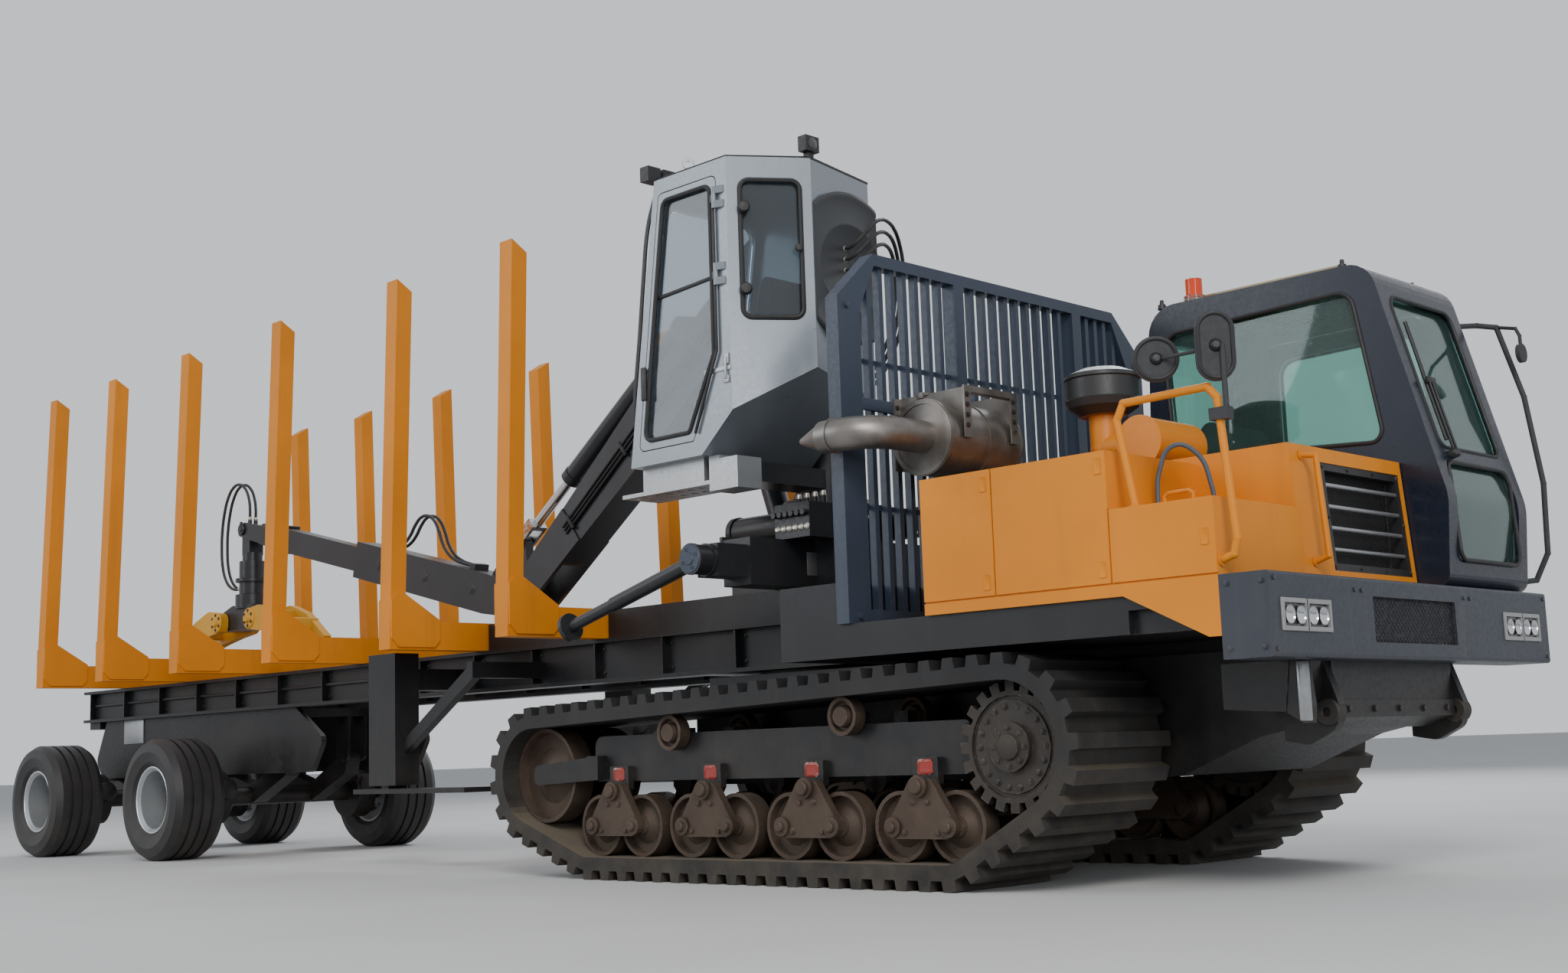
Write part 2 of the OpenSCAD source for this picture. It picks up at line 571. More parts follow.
// Handrail over the low box, and the handle beside the grille
rail_y = -half_w + 35;
rail_r = 17;
rail_top = 2055;
function rail_front(z) = 2826 - (z - 1430) * 48 / 580;
module handrails() color("#d9801f") place() {
  rail([[2357, rail_y, step_top + 4], [2288, rail_y, 1985], [2325, rail_y, rail_top],
      [2735, rail_y, rail_top + 6],
    [2778, rail_y, 2010], [2826, rail_y, 1430], [2808, rail_y, 1368], [2756, rail_y, 1352]], rail_r);
  pin_z(2357, rail_y, 28, step_top + gap, step_top + 8);
  pin_x(rail_y, 1352, 28, bumper_x0 - 1 + gap, 2756);
  rail([[front_x(1850) + 4, -505, 1850], [2784, -505, 1840], [2812, -505, 1400],
    [front_x(1380) + 8, -505, 1380]], 12.5);
  for (z = [1380, 1850]) pin_x(-505, z, 21, front_x(z) + 2.5, front_x(z) + 10);
}

module guard() color("#5d6b7c") place() {
  x0 = guard_x;
  x1 = guard_x + guard_t;
  // The three fields between the posts, with the number of bars in each
  fields = [[-half_w + 160, -400, 7], [-320, 640, 9], [720, half_w - 160, 4]];
  difference() {
    along_x(x0, x1) polygon([[-half_w, deck_z], [half_w, deck_z], [half_w, guard_top - 250],
      [half_w - 270, guard_top], [-half_w + 270, guard_top], [-half_w, guard_top - 250]]);
    for (c = fields) {
      left = c[0] < -1000;
      right = c[1] > 1000;
      along_x(x0 - 1, x1 + 1) polygon([[c[0], deck_z + 70], [c[1], deck_z + 70],
        [c[1], right ? guard_top - 300 : guard_top - 60], [right ? c[1] - 120 : c[1], guard_top - 60],
        [left ? c[0] + 120 : c[0], guard_top - 60], [c[0], left ? guard_top - 300 : guard_top - 60]]);
    }
  }
  for (c = fields, k = [1 : c[2]]) let (y = c[0] + k * (c[1] - c[0]) / (c[2] + 1))
    box([x0 + 20, y - 15, deck_z + 60], [x0 + 60, y + 15, guard_top - 55]);
  for (z = [1820, 2550]) box([x0 + 4, -half_w + 100, z - 12], [x0 + 20, half_w - 100, z + 12]);
}

// Muffler on two brackets in front of the guard, with an outlet that bends back past the guard's post
muffler_x = 985;
muffler_z = 2130;
muffler_r = 185;
muffler_y0 = -1000;
muffler_y1 = -440;
elbow_r = 200;
pipe_r = 80;
pipe_y = -half_w - 85;
module muffler() color("#6e625b") place() {
  front = guard_x + guard_t + gap;
  difference() {
    pin_y(muffler_x, muffler_z, muffler_r, muffler_y0, muffler_y1);
    pin_y(muffler_x, muffler_z, muffler_r - 22, muffler_y0 - 1, muffler_y0 + 12);
    pin_y(muffler_x, muffler_z, muffler_r - 22, muffler_y1 - 12, muffler_y1 + 1);
  }
  for (y = [muffler_y0 + 6, -700, muffler_y1 - 18]) pin_y(muffler_x, muffler_z, muffler_r + 5, y, y + 12);
  pin_y(muffler_x, muffler_z, pipe_r, pipe_y + elbow_r, muffler_y0 + 20);
  translate([muffler_x - elbow_r, pipe_y + elbow_r, muffler_z]) rotate([0, 0, -90])
    rotate_extrude(angle = 90) translate([elbow_r, 0]) circle(r = pipe_r);
  pin_x(pipe_y, muffler_z, pipe_r, 700, muffler_x - elbow_r);
  pin_x(pipe_y, muffler_z, pipe_r + 5, 762, 776);
  translate([550, pipe_y, muffler_z]) rotate([0, 90, 0]) cylinder(h = 150, r1 = 16, r2 = pipe_r - 6);
  for (y = [-880, -520]) {
    difference() {
      box([front, y, muffler_z - 130], [1195, y + 10, muffler_z + 235]);
      pin_y(muffler_x, muffler_z, muffler_r - 3, y - 1, y + 11);
      box([1100, y - 1, muffler_z - 131], [1196, y + 11, muffler_z - 20]);
    }
    for (x = [front, 1185]) difference() {
      box([x, y - 40, muffler_z - (x > 1000 ? 20 : 130)], [x + 10, y + 10, muffler_z + 235]);
      for (z = [40, 90, 140, 190]) pin_x(y - 20, muffler_z + z, 8, x - 1, x + 11);
    }
  }
  box([1150, -880, muffler_z + 205], [1195, -510, muffler_z + 235]);
}

// Pre-cleaner on its neck, and the round filter housing beside it
clean = [1560, -300];
module air_cleaner() color("#d9801f") place() {
  translate([clean[0], clean[1], 0]) rotate_extrude() polygon([[0, 2215], [115, 2215], [172, 2255],
    [187, 2290], [178, 2296], [178, 2392], [187, 2398], [180, 2418], [110, 2448], [0, 2456]]);
  pin_z(clean[0], clean[1], 72, 2030, 2216);
  pin_x(clean[1], 2055, 70, clean[0] - 20, 1800);
  translate([clean[0], clean[1], 2055]) sphere(r = 73);
  pin_y(1800, 2055, 120, -370, 40);
  pin_y(1800, 2055, 126, -372, -352);
  for (y = [-310, -60]) box([1740, y, hood_top - 90 + gap], [1860, y + 30, 1960]);
  box([clean[0] - 40, clean[1] - 40, hood_top - 90 + gap], [clean[0] + 40, clean[1] + 40, 2010]);
}

// Near mirrors on a post clamped to the handrail; far handrail with its small mirror
far_r = 14;
far_y = pipe_r + 5 - pipe_y - far_r;
module mirrors() color("#1b1c1e") place() {
  post = [2818, rail_y];
  difference() {
    box([rail_front(1940) - 34, rail_y - 26, 1915], [2834, rail_y + 26, 1965]);
    bar([2778, rail_y, 2010], [2826, rail_y, 1430], rail_r + gap);
  }
  pin_z(post[0], post[1], 12, 1916, 2215);
  translate([post[0], post[1], 2215]) sphere(r = 13);
  pin_x(rail_y, 2215, 8, 2500, post[0]);
  // Round mirror and oval mirror, both turned to the driver
  translate([2500, rail_y, 2215]) rotate([0, 0, -50]) pin_x(0, 0, 97, -14, 14);
  translate([2785, rail_y, 2222]) rotate([0, 0, -50]) along_x(-14, 14)
    polygon(rounded([[-80, -145, 79], [80, -145, 79], [80, 145, 79], [-80, 145, 79]], 8));
  rail([[2640, cab_y1 + 12, 2690], [2700, far_y - 30, 2702], [2790, far_y, 2680], [2900, far_y, 2300],
    [2958, far_y, 1850], [2948, far_y, 1500], [2880, far_y, 1370], [2800, cab_y1 + 12, 1352]], far_r);
  for (c = [[2640, 2690], [2800, 1352]]) pin_y(c[0], c[1], 24, cab_y1 + gap, cab_y1 + 14);
  rail([[2790, far_y, 2680], [2900, far_y - 30, 2650], [2935, far_y - 70, 2600],
      [2935, far_y - 70, 2520]], 9);
  pin_x(far_y - 70, 2510, 48, 2924, 2946);
}

// Trailer. Its bodies turn with it about the pivot.
beam_w = 140;
web_t = 22;
flange_t = 24;

module beam_section(z0, z1) {
  translate([-beam_w / 2, z0]) square([beam_w, flange_t]);
  translate([-beam_w / 2, z1 - flange_t]) square([beam_w, flange_t]);
  translate([-web_t / 2, z0]) square([web_t, z1 - z0]);
}

riser_h = 170;
module trailer_frame() color("#16171a") place() {
  difference() {
    union() {
      for (s = [-1, 1]) {
        translate([0, s * web_gauge / 2, 0]) along_x(frame_x0, frame_x1) beam_section(frame_z0, frame_z1);
        // Raised beams between and ahead of the two front bunks
        for (c = [[bunk_x[4] + 80, bunk_x[5] - 80], [bunk_x[5] + 80, frame_x1]])
          box([c[0], s * web_gauge / 2 - 55, frame_z1], [c[1], s * web_gauge / 2 + 55, frame_z1 + riser_h]);
        // Web stiffeners
        for (x = [frame_x0 + 100 : 620 : frame_x1 - 100])
          box([x, s * web_gauge / 2 - 60, frame_z0], [x + 14, s * web_gauge / 2 + 60, frame_z1]);
      }
      for (x = concat(bunk_x, [-9000, -4000, -2900]))
        box([x - 50, -web_gauge / 2, frame_z1 - 130], [x + 50, web_gauge / 2, frame_z1]);
      box([-1250, -web_gauge / 2, frame_z0], [frame_x1, web_gauge / 2, frame_z0 + 26]);
      box([-1250, -web_gauge / 2, frame_z1 - 26], [frame_x1, web_gauge / 2, frame_z1]);
      pin_z(pivot_x, 0, 130, frame_z0, frame_z1);
      pin_z(pivot_x, 0, ring_r, frame_z0 - 20 + gap, frame_z0 + 10);
      box([frame_x0, -web_gauge / 2, frame_z0], [frame_x0 + 30, web_gauge / 2, frame_z1]);
    }
    pin_z(pivot_x, 0, kingpin_r + fit, frame_z0 - 40, frame_z1 - 18);
  }
}

module bunk(x) {
  for (s = [-1, 1]) {
    y0 = s * bunk_w / 2;
    // Stake with a slanted top
    along_x(x - stake_l / 2, x + stake_l / 2) polygon([[y0, frame_z1], [y0 - s * stake_lean, stake_top],
      [y0 - s * (stake_lean + stake_t), stake_top - 70], [y0 - s * stake_t, frame_z1]]);
    // Gusset plates on both faces of the foot
    for (f = [-1, 1]) along_x(f > 0 ? x + stake_l / 2 : x - stake_l / 2 - 14,
      f > 0 ? x + stake_l / 2 + 14 : x - stake_l / 2)
      polygon([for (c = [[8, 70], [8, 310], [60, 350], [110, 350], [370, 190], [370, 60], [330, 16],
          [60, 16]])
        [y0 - s * c[0], frame_z1 + c[1]]]);
  }
  box([x - stake_l / 2 + gap, -bunk_w / 2 + stake_t + gap, frame_z1],
    [x + stake_l / 2 - gap, bunk_w / 2 - stake_t - gap, frame_z1 + bunk_h]);
}

module bunks() color("#d9801f") place() for (x = bunk_x) bunk(x);
stub_r = 62;
drum_r = 205;
arm_y = 260;
axle_z = tyre_r;
channel_z = frame_z0 - 60;
module axles() color("#1b1b1c") place() {
  // Side plates of the subframe, under the main beams
  both() along_y(-web_gauge / 2 - 20, -web_gauge / 2 + 20) polygon(rounded([[-8700, frame_z0 - gap, 0],
    [-8880, 770, 60], [-8760, 620, 60], [-5420, 620, 80], [-5250, 860, 60], [-5640, frame_z0 - gap, 0]]));
  for (x = axle_x) {
    pin_y(x, axle_z, 70, -700, 700);
    pin_y(x, axle_z, stub_r, -905, 905);
    // Channels that carry the bags and the arms
    for (c = [[-430, -240], [470, 650]]) box([x + c[0], -web_gauge / 2 - 19, channel_z],
      [x + c[1], web_gauge / 2 + 19, frame_z0 - gap]);
    both() {
      pin_y(x, axle_z, drum_r, -tyre_y + tyre_w + 20, -tyre_y + tyre_w + 170);
      // Trailing arm from its hanger to the seat of the air bag
      along_y(-arm_y - 60, -arm_y + 60) polygon(rounded([[x - 470, 520, 20], [x - 60, 400, 40],
        [x + 80, 400, 40], [x + 560, 600, 50], [x + 600, 760, 50], [x + 520, 760, 40], [x + 60, 530, 60],
        [x - 200, 600, 0], [x - 470, 600, 0]]));
      for (s = [-1, 1]) along_y(-arm_y + s * 75 - 12, -arm_y + s * 75 + 12) polygon(rounded([[x + 480, 700,
          40],
        [x + 640, 700, 40], [x + 650, channel_z + 5, 0], [x + 470, channel_z + 5, 0]]));
      pin_y(x + 560, 720, 30, -arm_y - 95, -arm_y + 95);
    }
  }
}

module air_bags() color("#202123") place() for (x = axle_x) both() {
  pin_z(x - 335, -arm_y, 118, 600 + gap, 660);
  pin_z(x - 335, -arm_y, 130, 660, 960);
  pin_z(x - 335, -arm_y, 110, 960, channel_z - gap);
}

// A wheel stands at x on side s, drawn about Z with its outside up
module wheel_at(x, s) translate([x, s * (tyre_y - tyre_w / 2), axle_z]) rotate([s > 0 ? -90 : 90, 0,
    0]) children();

bead_r = 250;
module tyre() rotate_extrude($fn = 64) polygon(concat(
  [[bead_r + gap, -tyre_w / 2 + 45], [bead_r + 30, -tyre_w / 2 + 18], [tyre_r - 95, -tyre_w / 2],
    [tyre_r - 30, -tyre_w / 2 + 14]],
  [for (k = [0 : 2], c = [[0, 0], [58, 0], [58, 14], [80, 14]]) [tyre_r - c[1], -150 + k * 80 + c[0]]],
  [[tyre_r, 90], [tyre_r, 150]],
  [[tyre_r - 30, tyre_w / 2 - 14], [tyre_r - 95, tyre_w / 2], [bead_r + 30, tyre_w / 2 - 18],
    [bead_r + gap, tyre_w / 2 - 45]]));

module rim() difference() {
  rotate_extrude($fn = 64) polygon([[stub_r + fit, -60], [150, -60], [175, -120], [215, -150], [215, 150],
    [235, tyre_w / 2 - 40], [bead_r, tyre_w / 2 - 40], [bead_r, -tyre_w / 2 + 40], [235, -tyre_w / 2 + 40],
    [205, -150], [165, -140], [140, -90], [stub_r + fit, -90]]);
  for (k = [0 : 9]) rotate(k * 36) translate([118, 0, -100]) cylinder(h = 50, r = 14);
}

// Landing legs, folded clear of the ground
leg_x = -3560;
module landing_legs() color("#18191b") place() both() {
  box([leg_x - 150, -1080, 520], [leg_x + 150, -900, frame_z1 - 10]);
  box([leg_x - 90, -900, frame_z0 + flange_t], [leg_x + 90, -(web_gauge + web_t) / 2, frame_z0 + 160]);
  box([leg_x - 320, -1090, 470], [leg_x + 900, -890, 500]);
  box([leg_x - 40, -1060, 500], [leg_x + 40, -920, 520]);
  along_y(-1020, -960) polygon([[leg_x + 150, 720], [leg_x + 150, 800], [leg_x + 900, frame_z0 + 160],
    [leg_x + 900, frame_z0 + 60]]);
  box([leg_x + 840, -1020, frame_z0 + 60], [leg_x + 900, -(web_gauge + web_t) / 2, frame_z0 + 160]);
}
// Crane base: pedestal, stabiliser housing, slewing cylinders and valves
base_z = frame_z1 + riser_h;
house_x = -430;
house_w = 210;
house_wall = 25;
house_z0 = base_z + 40;
house_z1 = 1750;
rack_z = 1920;
rack_y = 260;
rack_under = rack_z - 96 - gap;
module crane_base() color("#22262c") place() {
  difference() {
    union() {
      box([-1000, -web_gauge / 2 + 55, frame_z1 + gap], [-140, web_gauge / 2 - 55, house_z1 + 40]);
      box([house_x - house_w / 2, -900, base_z + gap], [house_x + house_w / 2, 900, house_z1 + 40]);
      for (s = [-1, 1]) {
        pin_x(s * rack_y, rack_z, 88, -1080, -120);
        pin_x(s * rack_y, rack_z, 96, -700, -640);
        pin_x(s * rack_y, rack_z, 96, -1085, -1050);
      }
      box([-800, -300, house_z1], [-400, 300, rack_under]);
      // Cheeks from the housing's mouth to the pedestal
      both() along_x(house_x - house_w / 2 - 20, house_x - house_w / 2) polygon([[-905, 1600],
        [-web_gauge / 2, base_z + gap], [-300, base_z + gap], [-300, rack_under], [-560, rack_under],
            [-905, 1810]]);
    }
    box([house_x - house_w / 2 + house_wall, -906, house_z0], [house_x + house_w / 2 - house_wall, 906,
        house_z1]);
    pin_z(pivot_x, 0, col_r + fit, frame_z1 + 60, rack_z + 200);
  }
}

// Valve block with its row of spools, the blank cover beside it, and the oil filters
valve_z = house_z1 + 40 + gap;
module valve_block() color("#3c4044") place() {
  box([-390, -640, valve_z], [-130, -400, valve_z + 190]);
  for (k = [0 : 5]) pin_y(-370 + k * 44, valve_z + 130, 16, -676, -640);
  for (k = [0 : 3]) pin_z(-360 + k * 62, -480, 20, valve_z + 190, valve_z + 235);
  for (s = [-1, 1]) pin_z(-220, s * 62, 50, valve_z, valve_z + 220);
}

// Column that slews about the pivot, with its head and the arm that carries the crane cab
col_r = 160;
head = [-800, boom_z];
lift_foot = [-930, 1900];
lug_pin = 26;
module crane_column() color("#2a2d33") place() difference() {
  union() {
    pin_z(pivot_x, 0, col_r, frame_z1 + 60 + gap, 3300);
    pin_z(pivot_x, 0, 250, 2030, 2070);
    along_y(-110, 110) polygon([[pivot_x + 130, 3100], [pivot_x + 60, 3500], [head[0] + 130, boom_z + 60],
      [head[0] - 60, boom_z + 110], [head[0] - 130, boom_z - 20], [pivot_x - 150, 3000]]);
    // Foot of the lift cylinder: its web keeps clear of the barrel
    along_y(-70, 70) polygon([[pivot_x, 2015], [-770, 1975], [-880, 1846], [lift_foot[0], 1840],
      [-876, 1925], [-850, 1960], [-830, 2060], [pivot_x, 2420]]);
    pin_y(lift_foot[0], lift_foot[1], 60, -70, 70);
    pin_y(head[0], boom_z, 50, -150, 150);
    // Arm under the crane cab
    box([pivot_x - 110, -700, tower_floor - 110], [pivot_x + 110, 0, tower_floor - gap]);
    box([pivot_x - 80, -220 + gap, 2900], [pivot_x + 80, 0, 3000]);
    for (k = [0 : 2]) pin_x(k * hose_gap, low_port_z, 18, pivot_x + 80, -400);
  }
  along_y(-46, 46) polygon([[-1100, 1700], [-1100, 2500], [lift_foot[0] + 75, 2500],
      [lift_foot[0] + 75, 1700]]);
  pin_y(lift_foot[0], lift_foot[1], lug_pin + fit, -100, 100);
}

// Crane cab: a side outline and a plan outline meet in its faceted shell
tower_x0 = -1080;
tower_floor = 2240;
knee_z = 2680;
function tower_side(d) = [[-830 + d * 1.1, tower_top - d], [20 - d, tower_top - d],
    [20 - d, knee_z + d * 0.4],
  [-500 - d, tower_floor + d], [tower_x0 + d * 1.1, tower_floor + d]];
function tower_plan(d) = [[-1200, -tower_y + d], [-250 - d * 0.5, -tower_y + d], [20 - d, -690 + d * 0.4],
  [-95 - d, -100 - d * 0.6], [-260 - d * 0.3, -220 - d], [-1200, -220 - d]];
module tower_body(d) intersection() {
  along_y(-tower_y - 10, -90) polygon(tower_side(d));
  translate([0, 0, 2000]) linear_extrude(2000) polygon(tower_plan(d));
}
tower_wall = 40;
tower_door = [[-800, 3760, 40], [-330, 3760, 40], [-330, 2760, 20], [-560, 2320, 20], [-1010, 2320, 40]];
tower_pane = [[-760, 3710, 50], [-380, 3710, 50], [-380, 2775, 30], [-590, 2375, 30], [-955, 2375, 50]];
tower_hinges = [3200, 3625];

// Window in the chamfered panel, taken in by d and t thick about the middle of the wall
module chamfer_window(d, t) translate([-115, -875, 2950]) rotate(atan2(380, 270)) translate([0, 20, 0])
  rotate([90, 0, 0]) translate([0, 0, -t / 2]) linear_extrude(t)
  polygon(rounded([[-165 + d, d, 50], [165 - d, d, 50], [165 - d, 760 - d, 50], [-165 + d, 760 - d, 50]]));

module crane_cab() color("#8e99a5") place() {
  difference() {
    tower_body(0);
    tower_body(tower_wall);
    along_y(-tower_y - 20, -tower_y + tower_wall + 20) polygon(rounded(tower_door));
    crane_window(0, 0);
    chamfer_window(0, 160);
  }
  hinge_frame(-333, -tower_y, -1, tower_hinges, 60);
  // Hose ports in the rear panel
  for (k = [0 : 2]) pin_x(port_y, port_z[0] + k * port_z[1], 18, -50, 0);
}

module hoses_crane() color("#1a1a1b") place()
  for (k = [0 : 2]) tube(crane_hose(k), hose_r, [-0.5, 0, 0.87]);

module crane_cab_door() color("#8e99a5") place() {
  difference() {
    along_y(-tower_y, -tower_y + tower_wall) offset(delta = -6) polygon(rounded(tower_door));
    along_y(-tower_y - 1, -tower_y + tower_wall + 1) polygon(rounded(tower_pane));
  }
  hinge_door(-333, -tower_y, -1, tower_hinges, -44);
}

// Windscreen, taken in by d at its edges and by top at its upper edge, which leaves an air slit
module crane_window(d, top) along_x(-1150, -700) polygon(rounded([[-tower_y + 90 + d, 2420 + d, 60],
  [-300 - d, 2420 + d, 60], [-300 - d, 3700 - top, 80], [-tower_y + 90 + d, 3700 - top, 80]]));

module crane_cab_glass() color("#8fb0ab", 0.4) place() {
  intersection() {
    crane_window(gap, slit);
    difference() {
      tower_body(16);
      tower_body(24);
    }
  }
  chamfer_window(gap, 6);
}

module crane_door_glass() color("#8fb0ab", 0.4) place()
  along_y(-tower_y + 16, -tower_y + 24) offset(delta = -gap) polygon(rounded(tower_pane));

module crane_cab_seat() color("#2a2b2d") place() {
  box([-760, -800, tower_floor + tower_wall + gap], [-540, -480, 2600]);
  along_y(-800, -440) polygon(rounded([[-290, 2600, 20], [-190, 3200, 40], [-270, 3220, 40], [-400, 2710, 40],
    [-780, 2730, 40], [-780, 2600, 20]]));
}

// Work lamps on the roof of the crane cab, and its lifting eye
module crane_lamps() color("#17181a") place() {
  roof = tower_top + gap;
  box([-20, -700, roof], [20, -660, roof + 40]);
  box([-25, -735, roof + 36], [35, -630, roof + 122]);
  box([-840, -1040, roof], [-740, -860, roof + 14]);
  along_y(-985, -925) polygon([[-780, roof + 14], [-900, roof + 60], [-900, roof + 40], [-820, roof]]);
  for (y = [-1060, -945]) box([-960, y, roof + 26], [-890, y + 95, roof + 112]);
  difference() {
    along_y(-906, -890) polygon(rounded([[-660, roof, 0], [-660, roof + 80, 40], [-560, roof + 80, 40],
      [-560, roof, 0]]));
    pin_y(-610, roof + 42, 20, -920, -880);
  }
}

// Step platform and lamp box under the crane cab
module crane_cab_step() color("#9aa3aa") place() {
  floor_z = tower_floor - gap;
  difference() {
    box([-1240, -1000, floor_z - 150], [-500, -720, floor_z - 128]);
    for (k = [0 : 6], j = [0, 1]) pin_z(-1190 + k * 90, -930 + j * 110, 22, floor_z - 151, floor_z - 127);
  }
  for (y = [-1000, -740]) box([-1060, y, floor_z - 130], [-560, y + 20, floor_z]);
  box([-520, -1000, floor_z - 190], [-300, -820, floor_z - 20]);
  box([-520, -1000, floor_z - 21], [-440, -820, floor_z]);
}

// Boom, drawn level from its pivot towards the elbow and then tilted
module boom_frame() translate([head[0], 0, boom_z]) rotate([0, -boom_dip, 0]) children();
elbow = [head[0] - boom_l * cos(boom_dip), boom_z - boom_l * sin(boom_dip)];
// Foot of the stick's cylinder and eye of the lift cylinder, in the boom's own frame
stick_foot = [-1000, 300];
lift_eye = [-800, -215];
// Eye of the stick's cylinder, in the stick's own frame
stick_eye = [-170, 375];
module boom() color("#34373c") place() boom_frame() difference() {
  union() {
    for (s = [-1, 1]) along_y(s > 0 ? 116 : -150, s > 0 ? 150 : -116)
      polygon(rounded([[120, 0, 110], [0, 150, 100], [-420, boom_h / 2, 60], [-520, boom_h / 2, 0],
        [-520, -boom_h / 2, 0], [-300, -boom_h / 2, 60], [0, -150, 100]]));
    along_y(-boom_w / 2, boom_w / 2) polygon(rounded([[-330, boom_h / 2 - 10, 20],
        [-1500, boom_h / 2 + 20, 60],
      [-boom_l + 480, boom_h / 2 - 40, 40], [-boom_l + 480, -boom_h / 2 + 40, 40],
          [-1500, -boom_h / 2 - 10, 60],
      [-330, -boom_h / 2 + 10, 20]]));
    for (s = [-1, 1]) along_y(s > 0 ? 101 : -131, s > 0 ? 131 : -101)
      polygon(rounded([[-boom_l + 760, boom_h / 2 - 30, 0], [-boom_l + 480, boom_h / 2 - 40, 0],
        [-boom_l - 40, 110, 90], [-boom_l - 110, 0, 90], [-boom_l - 40, -110, 90],
        [-boom_l + 480, -boom_h / 2 + 40, 0], [-boom_l + 760, -boom_h / 2 + 30, 0]]));
    // Lugs of the two cylinders
    both() along_y(-70, -46) polygon([[-780, boom_h / 2 - 10], [-945, 350], [-1000, 360], [-1040, 345],
      [-1050, 300], [-1050, boom_h / 2 - 10]]);
    along_y(-32, 32) polygon([[-660, -boom_h / 2 + 20], [-740, -260], [-860, -260],
        [-960, -boom_h / 2 + 20]]);
  }
  pin_y(0, 0, 50 + fit, -200, 200);
  pin_y(-boom_l, 0, 45 + fit, -200, 200);
  pin_y(stick_foot[0], stick_foot[1], lug_pin + fit, -100, 100);
  // Relief for the fork of the lift cylinder, long enough for the eye's drift along its stroke
  both() box([lift_eye[0] - 60, -68, lift_eye[1] - 60], [lift_eye[0] + 145, -34, lift_eye[1] + 85]);
}

// Stick and its telescopes, drawn level from the elbow towards the tip
module stick_frame() translate([elbow[0], 0, elbow[1]]) rotate([0, stick_rise, 0]) children();
module stick() color("#3b3e43") place() stick_frame() difference() {
  union() {
    along_y(-95, 95) polygon(rounded([[110, -40, 90], [60, 110, 60], [-500, 130, 60], [-2080, 130, 0],
      [-2080, -140, 0], [-400, -150, 80], [60, -110, 70]]));
    along_y(-33, 33) polygon(rounded([[20, 90, 0], [-115, 430, 50], [-225, 430, 50], [-450, 90, 0]]));
    pin_y(0, 0, 45, -150, 150);
    // Blocks that hold the hoses
    for (a = [-600, -1790]) box([a - (a > -700 ? 60 : 0), -60, 125], [a + (a > -700 ? 0 : 60), 60, 172]);
  }
  // The bore, and its narrower mouth where the telescope runs on pads
  box([-2000, -75, -105], [-600, 75, 95]);
  box([-2090, -68 - gap, -98 - gap], [-1990, 68 + gap, 88 + gap]);
}

// Where a point of the boom's or the stick's own frame lies on the machine
function boom_at(c) = [head[0] + c[0] * cos(boom_dip) - c[1] * sin(boom_dip),
  boom_z + c[0] * sin(boom_dip) + c[1] * cos(boom_dip)];
function stick_at(c) = [elbow[0] + c[0] * cos(stick_rise) + c[1] * sin(stick_rise),
  elbow[1] - c[0] * sin(stick_rise) + c[1] * cos(stick_rise)];

// Work from a to b: children are drawn along +X from a
module toward(a, b) translate([a[0], 0, a[1]]) rotate([0, -atan2(b[1] - a[1], b[0] - a[0]), 0]) children();

module barrel(r, rod_r, l) difference() {
  union() {
    pin_y(0, 0, 55, -32, 32);
    pin_y(0, 0, lug_pin, -64, 64);
    pin_x(0, 0, r * 0.6, 30, 80);
    pin_x(0, 0, r, 70, l);
    pin_x(0, 0, r + 6, l - 60, l);
  }
  pin_x(0, 0, rod_r + fit, 95, l + 1);
}

// A rod with a forked eye at distance l that straddles its lug
module rod(r, x0, l) difference() {
  union() {
    pin_x(0, 0, r, x0, l - 190);
    box([l - 215, -62, -40], [l - 180, 62, 40]);
    for (s = [-1, 1]) along_y(s > 0 ? 40 : -62, s > 0 ? 62 : -40)
      polygon(rounded([[l - 190, -40, 0], [l + 48, -46, 44], [l + 48, 46, 44], [l - 190, 40, 0]]));
  }
  pin_y(l, 0, 26, -80, 80);
}

lift_b = boom_at(lift_eye);
lift_l = norm(lift_b - lift_foot);
stick_a = boom_at(stick_foot);
stick_b = stick_at(stick_eye);
stick_l = norm(stick_b - stick_a);

module lift_barrel() color("#2b2e33") place() toward(lift_foot, lift_b) barrel(72, 40, lift_l - 235);
module lift_rod() color("#c9ccd0") place() toward(lift_foot, lift_b) rod(40, 105, lift_l);
module stick_barrel() color("#2b2e33") place() toward(stick_a, stick_b) barrel(66, 34, 1420);
module stick_rod() color("#c9ccd0") place() toward(stick_a, stick_b) rod(34, 600, stick_l);

// Telescope with its tip fork
tip_x = -3815;
module extension() color("#3b3e43") place() stick_frame() difference() {
  union() {
    box([-3250, -68, -98], [-700, 68, 88]);
    box([-760, -75 + gap, -105 + gap], [-700, 75 - gap, 95 - gap]);
    along_y(-60, 60) polygon([[-3240, -98], [-3240, 88], [-3560, 76], [-3560, -86]]);
    for (s = [-1, 1]) along_y(s > 0 ? 74 : -96, s > 0 ? 96 : -74)
      polygon(rounded([[-3400, -80, 0], [-3400, 70, 0], [tip_x + 20, 62, 40], [tip_x - 62, 20, 40],
        [tip_x - 62, -62, 40], [tip_x + 20, -62, 40]]));
    box([-3520, -96, -80], [-3400, 96, 70]);
    // Bolted collar at the end of the telescope
    box([-3290, -88, -118], [-3230, 88, 108]);
  }
  pin_y(tip_x, 0, 30 + fit, -200, 200);
}

